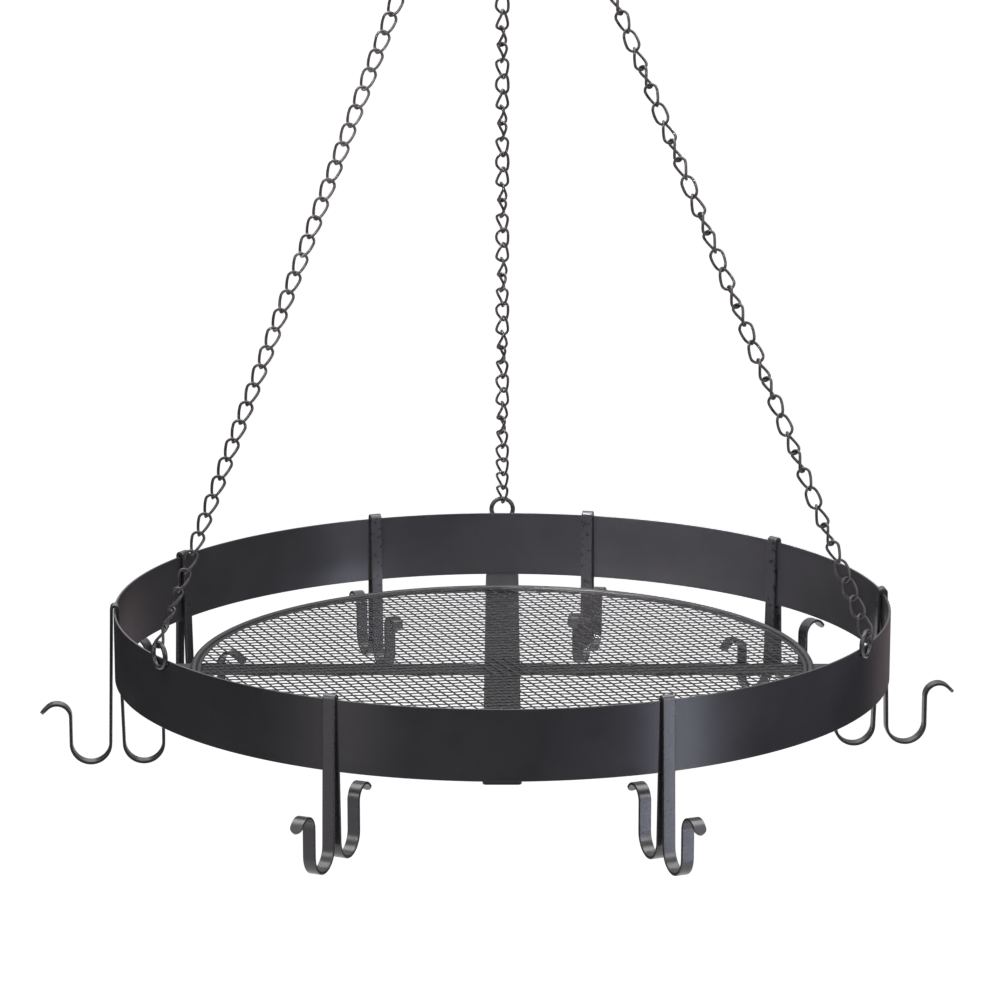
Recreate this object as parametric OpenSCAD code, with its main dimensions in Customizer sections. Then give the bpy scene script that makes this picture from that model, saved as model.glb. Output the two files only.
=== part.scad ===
// Round hanging pot rack: a flat iron hoop with a mesh shelf, hung from one ring by three
// twisted-link chains, with double hooks that straddle the hoop and slide round it.
// Millimetres, +Z up. The origin is the inside top of the hanging ring, where the ceiling
// hook bears. The front of the rack faces -Y, and an angle round the hoop is counted from
// the front, positive towards +X.

/* [Hoop] */
// Outside diameter of the hoop
hoop_d = 508; // [400:1:640]
// Height of the hoop's flat band
hoop_h = 45; // [30:1:60]
// Thickness of the band
hoop_t = 1.5; // [1:0.1:3]

/* [Cross straps] */
// Width of the two straps that cross under the hoop
strap_w = 23.5; // [14:0.5:30]
// Thickness of the straps
strap_t = 1.8; // [1.5:0.1:4]
// Length of each ramp where the upper strap steps over the lower one
step_run = 8; // [5:0.5:15]

/* [Shelf] */
// Outside diameter of the shelf's rim wire
shelf_d = 410; // [300:1:460]
// Diameter of the rim wire
rim_wire = 4.5; // [4:0.1:6]
// Distance between neighbouring strands of the mesh
mesh_spacing = 6.85; // [6:0.05:15]
// Angle at which the two rows of strands cross
mesh_angle = 75; // [55:1:90]
// Turn of the mesh's first row of strands from left to right
mesh_turn = 7.5; // [-30:0.5:30]
// Width of one strand
strand_w = 1.1; // [0.8:0.1:2]
// Thickness of the mesh where two strands cross
mesh_t = 1.2; // [0.8:0.1:1.6]
// Width of the flat hem that closes the mesh inside the rim wire
hem_w = 2.4; // [2:0.1:6]

/* [Eyelets] */
// Outside diameter of the welded eyelets
eyelet_d = 18.5; // [15:0.5:24]
// Wire diameter of the eyelets
eyelet_wire = 3.2; // [2.5:0.1:4]
// Height of an eyelet's middle over the hoop's upper edge
eyelet_rise = 2.5; // [2:0.5:7]
// Angle between the two front eyelets
eyelet_spread = 120; // [90:1:140]
// Turn of the front pair towards +X
eyelet_turn = 3.5; // [-10:0.5:10]

/* [Chains] */
// Number of links in each chain
chain_links = 49; // [40:1:60]
// Distance from one link to the next
link_pitch = 12.35; // [11.5:0.05:14]
// Outside width of a link
link_w = 9.2; // [9:0.1:11]
// Wire diameter of a link
link_wire = 1.6; // [1.4:0.1:1.9]
// Twist of a link from one end to the other
link_twist = 88; // [70:1:92]
// Turn from one link to the next in the left chain, which hangs slack
left_wind = 0.7; // [-40:0.1:10]
// Turn from one link to the next in the right chain
right_wind = -43.1; // [-44:0.1:10]
// Turn from one link to the next in the back chain
back_wind = -35.1; // [-44:0.1:10]
// Turn of the left chain's links out of square with their eyelet, along its middle run
left_start = 60; // [0:1:179]
// Turn of the right chain's links out of square with their eyelet
right_start = 110; // [0:1:179]
// Turn of the back chain's links out of square with their eyelet
back_start = 133; // [0:1:179]
// Links at each end of a chain that turn back to sit square on the eyelet and on the ring
seat_links = 3; // [3:1:12]

/* [Hanging ring] */
// Inside diameter of the ring that gathers the chains
ring_bore = 25; // [22:0.5:40]
// Wire diameter of the ring
ring_wire = 4; // [3:0.1:4.5]
// Angle along the ring from its lowest point to each front chain
ring_spread = 22; // [21:1:40]

/* [Hooks] */
// Width of the flat strip that the hooks are bent from
hook_w = 8; // [5:0.5:14]
// Thickness of the strip
hook_t = 2; // [1.5:0.1:3]
// Height from the hoop's upper edge down to the middle of each crook
crook_drop = 90.6; // [75:0.1:130]
// Inside radius of the crooks
crook_r = 11.9; // [8:0.1:18]
// Angle at which each leg leans away from the hoop
leg_splay = 1.5; // [0:0.1:4]
// Height of the straight part that rises from a crook
rise_len = 18; // [8:0.5:30]
// Inside radius of the curl at the end
curl_r = 8; // [5:0.1:12]
// Angle from level at which the curl ends
curl_end = 45; // [10:1:80]
// Length of the straight tip past the curl
tip_len = 5.5; // [5:0.5:12]
// Rest angle of each hook round the hoop
hook_angles = [-159, -120, -86, -24, 23, 96, 131.5, 166];

/* [Clearances] */
// Gap between the hoop and a hook's saddle
saddle_gap = 0.3; // [0.2:0.05:0.6]
// Gap where one link hangs in the next
link_gap = 0.15; // [0.1:0.05:0.4]
// Gap where the end links hang on the ring
ring_gap = 0.5; // [0.4:0.05:0.7]
// Gap between the mesh's hem and the rim wire that it is welded to
hem_gap = 0.15; // [0.1:0.05:0.4]
// Gap left at the welded seats
weld_gap = 0.05; // [0.02:0.01:0.1]

/* [Hidden] */

iron = "#2f2f31";
iron_light = "#46464a";
iron_dark = "#232325";

hoop_r = hoop_d / 2;

// Hanging ring and eyelets: middle radii of their wires
ring_r = (ring_bore + ring_wire) / 2;
ring_z = -ring_bore / 2;
eyelet_r = (eyelet_d - eyelet_wire) / 2;
eyelet_reach = hoop_r + weld_gap + eyelet_wire / 2;

// One link: its middle line is a slot shape, twisted about its long axis
link_r = (link_w - link_wire) / 2;
link_end = (link_pitch + link_gap + link_wire) / 2;
link_side = link_end - link_r;
bend_angles = [0, 50, 90, 130, 180];
wire_sides = 5;

// Heights: the back chain runs from its eyelet to the ring's lowest point
seat_rest = eyelet_wire / 2 + ring_wire / 2 - link_gap + ring_gap;
chain_run = chain_links * link_pitch - seat_rest - link_gap;
chain_rise = sqrt(pow(chain_run, 2) - pow(eyelet_reach, 2));
eyelet_top_z = ring_z - ring_r - chain_rise;
hoop_z = eyelet_top_z - eyelet_r - eyelet_rise;

// Angles of the eyelets round the hoop
left_angle = eyelet_turn - eyelet_spread / 2;
right_angle = eyelet_turn + eyelet_spread / 2;
back_angle = 180;

// Straps: they lie under the band's lower edge, and their corners end at its outer face
strap_z = hoop_z - hoop_h - weld_gap;
strap_reach = sqrt(pow(hoop_r, 2) - pow(strap_w / 2, 2));
step_rise = strap_t + weld_gap;
step_flat = strap_w / 2 + step_run / 2;

// Shelf: the rim wire lies on the straps, the mesh on the raised middle of the upper one
rim_r = (shelf_d - rim_wire) / 2;
rim_z = strap_z + weld_gap + rim_wire / 2;
mesh_z = strap_z + step_rise + weld_gap;
hem_lift = max(0, mesh_z - rim_z);
hem_out = rim_r - sqrt(pow(rim_wire / 2, 2) - pow(hem_lift, 2)) - hem_gap;
hem_in = hem_out - hem_w;
layer_t = (mesh_t - weld_gap) / 2;
strand_reach = hem_in + hem_w / 2;

// Hook: half of its bent outline, from the hoop's middle line outwards
saddle_r = hoop_t / 2 + saddle_gap;
saddle_mid = saddle_r + hook_t / 2;
crook_mid = crook_r + hook_t / 2;
curl_mid = curl_r + hook_t / 2;
leg_len = (crook_drop + saddle_gap + (saddle_mid + crook_mid) * sin(leg_splay)) / cos(leg_splay);
leg_foot = [saddle_mid * cos(leg_splay) + leg_len * sin(leg_splay),
            saddle_gap + saddle_mid * sin(leg_splay) - leg_len * cos(leg_splay)];
crook_c = leg_foot + crook_mid * [cos(leg_splay), sin(leg_splay)];
curl_c = crook_c + [crook_mid + curl_mid, rise_len];
tip_start = curl_c + curl_mid * [cos(curl_end), sin(curl_end)];
tip_round = 0.53 * hook_w;
saddle_steps = 6;
crook_steps = 24;
curl_steps = 15;

function polar(r, a, z) = [r * sin(a), -r * cos(a), z];
function unit(v) = v / norm(v);

// Where a chain hangs: on its eyelet, and on the ring at an angle from the lowest point
function eyelet_point(a) = polar(eyelet_reach, a, eyelet_top_z);
function ring_point(s) = [ring_r * sin(s), 0, ring_z - ring_r * cos(s)];

// Middle line of a link's wire: rings run over the upper end, then back over the lower end
link_angles = concat(bend_angles, [for (a = bend_angles) 180 + a]);
function link_lift(i) = i < len(bend_angles) ? link_side : -link_side;
function link_z(i) = link_lift(i) + link_r * sin(link_angles[i]);
function link_turn(i) = link_twist / 2 * link_z(i) / link_end;
function turned(x, a) = [x * cos(a), x * sin(a)];
function wire_point(i, b) =
    let (a = link_angles[i],
         w = link_wire / 2,
         across = turned(link_r * cos(a) + w * cos(b) * cos(a), link_turn(i)),
         aside = turned(w * sin(b), link_turn(i) + 90),
         flat = across + aside)
    [flat.x, flat.y, link_z(i) + w * cos(b) * sin(a)];

module torus(r, wire) {
    rotate_extrude($fn = r > shelf_d / 4 ? 180 : 96)
        translate([r, 0])
            circle(d = wire, $fn = 32);
}

// One link of the chain, its long axis along Z
module link() {
    rings = len(link_angles);
    points = [for (i = [0 : rings - 1]) for (j = [0 : wire_sides - 1])
                  wire_point(i, 360 * (j + 0.5) / wire_sides)];
    faces = [for (i = [0 : rings - 1]) for (j = [0 : wire_sides - 1])
                 let (n = (i + 1) % rings, k = (j + 1) % wire_sides,
                      a = i * wire_sides + j, b = n * wire_sides + j,
                      c = n * wire_sides + k, d = i * wire_sides + k)
                 each [[a, b, c], [a, c, d]]];
    polyhedron(points = points, faces = faces, convexity = 4);
}

// How far into the seat at an end of a chain a link is that stands so many links from that end
function seating(links) = max(0, 1 - links / seat_links);

// A straight chain from an eyelet to the ring, with its end links square to both wires
module chain(angle, spread, start, wind) {
    foot = eyelet_point(angle);
    head = ring_point(spread);
    dir = unit(head - foot);
    tilt = acos(dir.z);
    heading = atan2(dir.y, dir.x);
    side_x = [cos(tilt) * cos(heading), cos(tilt) * sin(heading), -sin(tilt)];
    side_y = [-sin(heading), cos(heading), 0];
    ring_dir = [cos(spread), 0, sin(spread)];
    square = cross(ring_dir, dir);
    top_angle = atan2(square * side_y, square * side_x);
    last = chain_links - 1;
    off_square = top_angle - (start + last * wind + link_twist);
    rest = off_square - 180 * floor(off_square / 180);
    pitch = (norm(head - foot) + seat_rest + link_gap) / chain_links;
    first = -eyelet_wire / 2 - link_gap / 2 + link_pitch / 2;
    translate(foot)
        rotate([0, tilt, heading])
            for (k = [0 : last])
                let (turn = start * (1 - seating(k)) + k * wind + rest * seating(last - k))
                    translate([0, 0, first + k * pitch])
                        rotate([0, 0, link_twist / 2 + turn])
                            link();
}

// A round eyelet standing flat against the outside of the hoop
module eyelet(angle) {
    translate(polar(eyelet_reach, angle, hoop_z + eyelet_rise))
        rotate([90, 0, angle])
            torus(eyelet_r, eyelet_wire);
}

// Side outline of a strip bent alike to both sides, from the points of one side's two faces;
// a point on the middle line isn't doubled
function mirrored(points) = [for (p = points) if (p.x > weld_gap) [-p.x, p.y]];
function reversed(points) = [for (i = [len(points) - 1 : -1 : 0]) points[i]];
function both_sides(outer, inner) =
    concat(outer, reversed(inner), mirrored(inner), reversed(mirrored(outer)));
function arc(c, r, a, b, steps) =
    [for (i = [0 : steps]) let (t = a + (b - a) * i / steps) c + r * [cos(t), sin(t)]];

// One face of a strap, lift above its lower face: the raised middle, the ramp and the end
function strap_face(raised, lift) =
    let (level = strap_z - strap_t + lift,
         ramp = [[step_flat, level + step_rise], [step_flat + step_run, level]])
    concat(raised ? ramp : [], [[strap_reach, level]]);

module strap(raised) {
    rotate([90, 0, 0])
        linear_extrude(height = strap_w, center = true)
            polygon(both_sides(strap_face(raised, 0), strap_face(raised, strap_t)));
}

// One row of parallel strands, cut round where they run into the hem
module strands(turn, z) {
    rows = floor((strand_reach - strand_w) / mesh_spacing);
    translate([0, 0, z])
        intersection() {
            rotate([0, 0, turn])
                for (i = [-rows : rows])
                    translate([-hoop_r, i * mesh_spacing - strand_w / 2, 0])
                        cube([hoop_d, strand_w, layer_t]);
            cylinder(r = strand_reach, h = layer_t, $fn = 180);
        }
}

// One face of a hook, off its middle line: saddle, leg, crook, rise, curl and straight tip
function hook_face(off) =
    concat(arc([0, saddle_gap], saddle_mid + off, 90, leg_splay, saddle_steps),
           arc(crook_c, crook_mid - off, 180 + leg_splay, 360, crook_steps),
           arc(curl_c, curl_mid + off, 180, curl_end, curl_steps),
           [tip_start + tip_len * [sin(curl_end), -cos(curl_end)]
            + off * [cos(curl_end), sin(curl_end)]]);

// What is cut away to round a tip off across the strip
module tip_cut() {
    translate([tip_start.x, 0, tip_start.y])
        rotate([0, 90 - curl_end, 0])
            translate([tip_len - tip_round, 0, -hook_t])
                linear_extrude(height = 2 * hook_t)
                    difference() {
                        translate([0, -hook_w])
                            square([tip_round + 1, 2 * hook_w]);
                        circle(tip_round, $fn = 48);
                    }
}

// A whole double hook astride the hoop
module hook(angle) {
    rotate([0, 0, angle - 90])
        translate([hoop_r - hoop_t / 2, 0, hoop_z])
            difference() {
                rotate([90, 0, 0])
                    linear_extrude(height = hook_w, center = true)
                        polygon(both_sides(hook_face(hook_t / 2), hook_face(-hook_t / 2)));
                for (side = [0, 1])
                    mirror([side, 0, 0])
                        tip_cut();
            }
}

module top_ring() {
    color(iron)
        translate([0, 0, ring_z])
            rotate([90, 0, 0])
                torus(ring_r, ring_wire);
}

module chain_left() {
    color(iron_dark) chain(left_angle, -ring_spread, left_start, left_wind);
}

module chain_right() {
    color(iron_dark) chain(right_angle, ring_spread, right_start, right_wind);
}

module chain_back() {
    color(iron_dark) chain(back_angle, 0, back_start, back_wind);
}

module eyelet_left() {
    color(iron) eyelet(left_angle);
}

module eyelet_right() {
    color(iron) eyelet(right_angle);
}

module eyelet_back() {
    color(iron) eyelet(back_angle);
}

module hoop_band() {
    color(iron)
        translate([0, 0, hoop_z - hoop_h])
            difference() {
                cylinder(r = hoop_r, h = hoop_h, $fn = 180);
                translate([0, 0, -1])
                    cylinder(r = hoop_r - hoop_t, h = hoop_h + 2, $fn = 180);
            }
}

module strap_front_back() {
    color(iron_light)
        rotate([0, 0, 90])
            strap(true);
}

module strap_left_right() {
    color(iron_light) strap(false);
}

module shelf_rim() {
    color(iron_light)
        translate([0, 0, rim_z])
            torus(rim_r, rim_wire);
}

module shelf_mesh() {
    color(iron_dark)
        translate([0, 0, mesh_z]) {
            difference() {
                cylinder(r = hem_out, h = mesh_t, $fn = 180);
                translate([0, 0, -1])
                    cylinder(r = hem_in, h = mesh_t + 2, $fn = 180);
            }
            strands(mesh_turn, 0);
            strands(mesh_turn + 180 - mesh_angle, mesh_t - layer_t);
        }
}

module hook_1() {
    color(iron) hook(hook_angles[0]);
}

module hook_2() {
    color(iron) hook(hook_angles[1]);
}

module hook_3() {
    color(iron) hook(hook_angles[2]);
}

module hook_4() {
    color(iron) hook(hook_angles[3]);
}

module hook_5() {
    color(iron) hook(hook_angles[4]);
}

module hook_6() {
    color(iron) hook(hook_angles[5]);
}

module hook_7() {
    color(iron) hook(hook_angles[6]);
}

module hook_8() {
    color(iron) hook(hook_angles[7]);
}

top_ring();
chain_left();
chain_right();
chain_back();
eyelet_left();
eyelet_right();
eyelet_back();
hoop_band();
strap_front_back();
strap_left_right();
shelf_rim();
shelf_mesh();
hook_1();
hook_2();
hook_3();
hook_4();
hook_5();
hook_6();
hook_7();
hook_8();
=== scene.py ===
import math

import bpy
from bpy.props import FloatProperty, FloatVectorProperty, IntProperty, PointerProperty
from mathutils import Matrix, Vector


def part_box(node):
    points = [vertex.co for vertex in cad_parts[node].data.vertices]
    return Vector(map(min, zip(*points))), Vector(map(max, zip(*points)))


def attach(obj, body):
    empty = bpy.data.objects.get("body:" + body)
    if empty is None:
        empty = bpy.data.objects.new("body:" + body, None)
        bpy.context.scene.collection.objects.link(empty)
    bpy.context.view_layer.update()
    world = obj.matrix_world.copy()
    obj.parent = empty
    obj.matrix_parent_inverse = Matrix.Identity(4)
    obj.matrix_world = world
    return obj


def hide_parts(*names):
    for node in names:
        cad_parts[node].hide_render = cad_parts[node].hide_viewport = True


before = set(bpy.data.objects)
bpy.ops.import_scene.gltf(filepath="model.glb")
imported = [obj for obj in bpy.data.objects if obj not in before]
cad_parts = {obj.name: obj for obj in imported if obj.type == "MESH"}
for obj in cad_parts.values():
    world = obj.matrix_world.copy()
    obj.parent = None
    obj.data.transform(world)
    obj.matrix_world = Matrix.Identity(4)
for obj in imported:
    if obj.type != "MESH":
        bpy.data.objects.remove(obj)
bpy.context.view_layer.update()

bl_info = {
    "name": "Hanging pot rack",
    "version": (1, 0, 0),
    "blender": (4, 5, 0),
    "location": "3D View > Sidebar > Pot Rack",
    "description": "Dresses a round hanging pot rack with chains, a mesh shelf and hooks",
    "category": "Add Mesh",
}

MM = 0.001

# colours of the stage and tints of its lamps
WHITE = (1, 1, 1, 1)
FLOOR_PALE = (0.86, 0.86, 0.86, 1)
STUDIO_GREY = (0.25, 0.25, 0.255, 1)
CARD_BLACK = (0.02, 0.02, 0.02, 1)
BROWN_GLOW = (0.27, 0.21, 0.215, 1)
COOL, WARM = (0.80, 0.84, 1.0), (1.0, 0.93, 0.96)


# ---------------------------------------------------------------- places given by the frame

def middle(node):
    """Middle of a node's box."""
    low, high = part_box(node)
    return (low + high) / 2


def angle_round_hoop(node):
    """Angle of a node's middle round the hoop, from the front towards +X."""
    place = middle(node)
    return math.atan2(place.x, -place.y)


HOOP_LOW, HOOP_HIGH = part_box("hoop_band")
RIM_LOW, RIM_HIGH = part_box("shelf_rim")
MESH_LOW, MESH_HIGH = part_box("shelf_mesh")
STRAP_LOW, STRAP_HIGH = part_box("strap_left_right")
RING_LOW, RING_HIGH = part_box("top_ring")
EYELET_LOW, EYELET_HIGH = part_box("eyelet_back")
HOOKS = ["hook_1", "hook_2", "hook_3", "hook_4", "hook_5", "hook_6", "hook_7", "hook_8"]


# ---------------------------------------------------------------- sizes and colours

def length(name, description, default):
    return FloatProperty(name=name, description=description, default=default,
                         unit="LENGTH", subtype="DISTANCE", precision=5)


def angle(name, description, default):
    return FloatProperty(name=name, description=description, default=math.radians(default),
                         unit="ROTATION", subtype="ANGLE")


def share(name, description, default):
    return FloatProperty(name=name, description=description, default=default,
                         min=0, max=1, subtype="FACTOR")


def colour(name, description, default):
    return FloatVectorProperty(name=name, description=description, default=default,
                               subtype="COLOR", size=4, min=0, max=1)


class HoopSizes(bpy.types.PropertyGroup):
    radius: length("Outside radius", "Outside radius of the hoop", HOOP_HIGH.x)
    height: length("Height", "Height of the flat band", HOOP_HIGH.z - HOOP_LOW.z)
    thickness: length("Thickness", "Thickness of the band", 1.5 * MM)
    edge: length("Edge", "Radius of the band's dressed edges", 0.4 * MM)
    strap_width: length("Strap width", "Width of the straps", STRAP_HIGH.y - STRAP_LOW.y)
    strap_thickness: length("Strap thickness", "Thickness of the straps", 1.8 * MM)
    strap_corner: length("Strap corner", "Radius of the corners at a strap's ends", 1.5 * MM)
    strap_edge: length("Strap edge", "Radius of the straps' dressed edges", 0.7 * MM)
    ramp: length("Ramp", "Length of the ramps where one strap steps over the other", 8 * MM)
    step: length("Step", "Height of that step", 1.85 * MM)


class ShelfSizes(bpy.types.PropertyGroup):
    rim_wire: length("Rim wire", "Diameter of the rim wire", RIM_HIGH.z - RIM_LOW.z)
    spacing: length("Strand spacing", "Distance between neighbouring strands", 6.85 * MM)
    crossing: angle("Crossing angle", "Angle at which the strands cross", 75)
    turn: angle("Mesh turn", "Turn of the first row of strands", 7.5)
    strand_width: length("Strand width", "Width of a strand", 1.2 * MM)
    hem: length("Hem", "Width of the hem round the mesh", 2.4 * MM)


class ChainSizes(bpy.types.PropertyGroup):
    links: IntProperty(name="Links", description="Number of links in a chain", default=49)
    pitch: length("Pitch", "Distance from one link to the next", 12.35 * MM)
    link_width: length("Link width", "Outside width of a link", 10 * MM)
    link_wire: length("Link wire", "Wire diameter of a link", 1.85 * MM)
    link_twist: angle("Link twist", "Twist of a link from end to end", 88)
    link_gap: length("Link gap", "Gap where one link hangs in the next", 0.05 * MM)
    ring_gap: length("Ring gap", "Gap where the end links hang on the ring", 0.5 * MM)
    ring_spread: angle("Ring spread", "Angle along the ring to the front chains", 25)
    seat_links: IntProperty(name="Seat links", default=3,
                            description="Links at each end that turn square to their seat")
    unevenness: angle("Unevenness", "How far single links sit out of turn", 2)


class HookSizes(bpy.types.PropertyGroup):
    width: length("Width", "Width of the strip that the hooks are bent from", 8 * MM)
    thickness: length("Thickness", "Thickness of the strip", 2 * MM)
    edge: length("Edge", "Radius of the strip's edges", 0.45 * MM)
    crook_drop: length("Crook drop", "Depth of the crooks under the hoop's edge", 90.6 * MM)
    crook: length("Crook", "Inside radius of the crooks", 11.9 * MM)
    splay: angle("Splay", "Lean of the legs away from the hoop", 1.5)
    rise: length("Rise", "Height of the straight part past a crook", 18 * MM)
    curl: length("Curl", "Inside radius of the curl", 8 * MM)
    curl_end: angle("Curl end", "Angle from level at which the curl ends", 45)
    tip: length("Tip", "Length of the straight tip", 5.5 * MM)
    saddle_gap: length("Saddle gap", "Gap between the hoop and the saddle", 0.3 * MM)


class RackColours(bpy.types.PropertyGroup):
    paint: colour("Paint", "Black paint of the flat parts", (0.0268, 0.0260, 0.0290, 1))
    worn: colour("Worn paint", "Paint where it has been handled", (0.042, 0.040, 0.044, 1))
    wire: colour("Wire", "Darker finish of the mesh", (0.018, 0.015, 0.018, 1))
    link: colour("Link", "Browner finish of the chains", (0.027, 0.0205, 0.0225, 1))
    rubbed: colour("Rubbed link", "Chain where its links rub", (0.052, 0.042, 0.044, 1))
    gloss: share("Gloss", "Mean roughness of the paint", 0.32)


class StageSizes(bpy.types.PropertyGroup):
    distance: length("Camera distance", "Distance from the hoop's upper edge", 2.6302)
    elevation: angle("Camera elevation", "Height of the camera over the hoop", 14.583)
    look_down: angle("Look down", "Downward pitch of the camera", 13.126)
    look_left: angle("Look left", "Turn of the camera to the left", 0.032)
    lens: FloatProperty(name="Lens", description="Focal length in millimetres on a 36 mm sensor",
                        default=144.26)
    floor: length("Floor", "Depth of the floor under the hanging point", 2.3)
    card_reach: length("Card reach", "Distance of the cards that stand round the rack", 3.6)
    card_top: length("Card top", "Height of the cards over the hanging point", 0.6)
    card_left: angle("Card left", "Where the dark card ends at the left, from the front", -162)
    card_right: angle("Card right", "Where the dark card ends at the right, from the front", 138)
    card_end: angle("Card end", "Where the brown card beside it ends, from the front", 176)


# ---------------------------------------------------------------- materials

def finish_paint(name, base, worn, gloss, grain, specular):
    """Satin paint on iron: fine orange-peel grain, speckled gloss and clouds of paler wear.

    Gloss is a roughness, grain the scale of the orange peel, specular the shader's own level.
    """
    material = bpy.data.materials.new(name)
    material.use_nodes = True
    nodes = material.node_tree.nodes
    links = material.node_tree.links
    nodes.clear()
    output = nodes.new("ShaderNodeOutputMaterial")
    shader = nodes.new("ShaderNodeBsdfPrincipled")
    links.new(shader.outputs["BSDF"], output.inputs["Surface"])
    shader.inputs["Metallic"].default_value = 0.0
    shader.inputs["Specular IOR Level"].default_value = specular
    place = nodes.new("ShaderNodeTexCoord")

    def noise(scale, detail, rough=0.5):
        node = nodes.new("ShaderNodeTexNoise")
        node.inputs["Scale"].default_value = scale
        node.inputs["Detail"].default_value = detail
        node.inputs["Roughness"].default_value = rough
        links.new(place.outputs["Object"], node.inputs["Vector"])
        return node.outputs["Fac"]

    def spread(source, low, high, to_low, to_high):
        node = nodes.new("ShaderNodeMapRange")
        node.inputs["From Min"].default_value = low
        node.inputs["From Max"].default_value = high
        node.inputs["To Min"].default_value = to_low
        node.inputs["To Max"].default_value = to_high
        links.new(source, node.inputs["Value"])
        return node.outputs["Result"]

    cloud = noise(scale=16, detail=3)
    speck = noise(scale=260, detail=4, rough=0.6)
    peel = noise(scale=grain, detail=2)
    mix = nodes.new("ShaderNodeMix")
    mix.data_type = "RGBA"
    mix.inputs["A"].default_value = base
    mix.inputs["B"].default_value = worn
    links.new(spread(cloud, 0.35, 0.7, 0, 1), mix.inputs["Factor"])
    links.new(mix.outputs["Result"], shader.inputs["Base Color"])
    links.new(spread(speck, 0.3, 0.7, gloss - 0.02, gloss + 0.03), shader.inputs["Roughness"])
    bump = nodes.new("ShaderNodeBump")
    bump.inputs["Strength"].default_value = 0.05
    bump.inputs["Distance"].default_value = 0.2 * MM
    links.new(peel, bump.inputs["Height"])
    links.new(bump.outputs["Normal"], shader.inputs["Normal"])
    return material


def paint(slot):
    """The finish of one of the record's slots, made once."""
    name = slot + "_paint"
    if name in bpy.data.materials:
        return bpy.data.materials[name]
    tint = bpy.context.scene.rack_colours
    base, worn, gloss = tuple(tint.paint), tuple(tint.worn), tint.gloss
    wire, link, rubbed = tuple(tint.wire), tuple(tint.link), tuple(tint.rubbed)
    # base colour, worn colour, roughness, grain, specular level
    kinds = {
        "band_iron": (base, worn, gloss, 1500, 0.45),
        "strap_iron": (base, worn, gloss + 0.04, 1500, 0.30),
        "ring_iron": (base, worn, gloss - 0.08, 1900, 0.6),
        "chain_iron": (link, rubbed, gloss, 900, 0.6),
        "mesh_iron": (wire, base, gloss + 0.10, 3000, 0.28),
        "hook_iron": (base, worn, gloss - 0.04, 1700, 0.6),
    }
    return finish_paint(name, *kinds[slot])


# ---------------------------------------------------------------- geometry node trees

class Tree:
    """A geometry node tree while it is being put together."""

    def __init__(self, name, inputs):
        self.group = bpy.data.node_groups.new(name, "GeometryNodeTree")
        face = self.group.interface
        face.new_socket("Geometry", in_out="INPUT", socket_type="NodeSocketGeometry")
        for label, kind in inputs.items():
            face.new_socket(label, in_out="INPUT", socket_type="NodeSocket" + kind)
        face.new_socket("Material", in_out="INPUT", socket_type="NodeSocketMaterial")
        face.new_socket("Geometry", in_out="OUTPUT", socket_type="NodeSocketGeometry")
        self.source = self.group.nodes.new("NodeGroupInput")

    def take(self, label):
        """The value of one of the tree's inputs."""
        return self.source.outputs[label]

    def node(self, kind, inputs=None, **settings):
        """Adds a node; an input is a number or another node's output."""
        node = self.group.nodes.new(kind)
        for name, value in settings.items():
            setattr(node, name, value)
        for key, value in (inputs or {}).items():
            if isinstance(value, bpy.types.NodeSocket):
                self.group.links.new(value, node.inputs[key])
            else:
                node.inputs[key].default_value = value
        return node

    def add(self, kind, inputs=None, **settings):
        """Adds a node and gives its first output."""
        return self.node(kind, inputs, **settings).outputs[0]

    def calc(self, operation, *values):
        return self.add("ShaderNodeMath", dict(enumerate(values)), operation=operation)

    def vector(self, x, y, z):
        return self.add("ShaderNodeCombineXYZ", {0: x, 1: y, 2: z})

    def index(self):
        return self.add("GeometryNodeInputIndex")

    def position(self):
        parts = self.node("ShaderNodeSeparateXYZ", {0: self.add("GeometryNodeInputPosition")})
        return parts.outputs[0], parts.outputs[1], parts.outputs[2]

    def round_wire(self, curve, radius, sides):
        circle = self.add("GeometryNodeCurvePrimitiveCircle",
                          {"Resolution": sides, "Radius": radius})
        return self.add("GeometryNodeCurveToMesh",
                        {"Curve": curve, "Profile Curve": circle, "Fill Caps": True})

    def moved(self, geometry, place, turn):
        return self.add("GeometryNodeTransform", {"Geometry": geometry, "Translation": place,
                                                  "Rotation": turn})

    def close(self, geometry):
        """Ends the tree: real, smooth geometry in the material that was handed in."""
        real = self.add("GeometryNodeRealizeInstances", {"Geometry": geometry})
        smooth = self.add("GeometryNodeSetShadeSmooth", {"Geometry": real})
        dressed = self.add("GeometryNodeSetMaterial", {"Geometry": smooth,
                                                       "Material": self.take("Material")})
        sink = self.group.nodes.new("NodeGroupOutput")
        self.group.links.new(dressed, sink.inputs[0])
        return self.group


def once(builder):
    """Keeps a tree that several pieces share."""
    kept = {}

    def tree():
        if "tree" not in kept:
            kept["tree"] = builder()
        return kept["tree"]
    return tree


@once
def wire_ring_tree():
    """A ring bent from round wire, turned and set in its place."""
    tree = Tree("Wire ring", {"Radius": "Float", "Wire": "Float", "Steps": "Int", "Sides": "Int",
                              "Place": "Vector", "Turn": "Vector"})
    circle = tree.add("GeometryNodeCurvePrimitiveCircle",
                      {"Resolution": tree.take("Steps"), "Radius": tree.take("Radius")})
    ring = tree.round_wire(circle, tree.calc("DIVIDE", tree.take("Wire"), 2.0), tree.take("Sides"))
    return tree.close(tree.moved(ring, tree.take("Place"), tree.take("Turn")))


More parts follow.
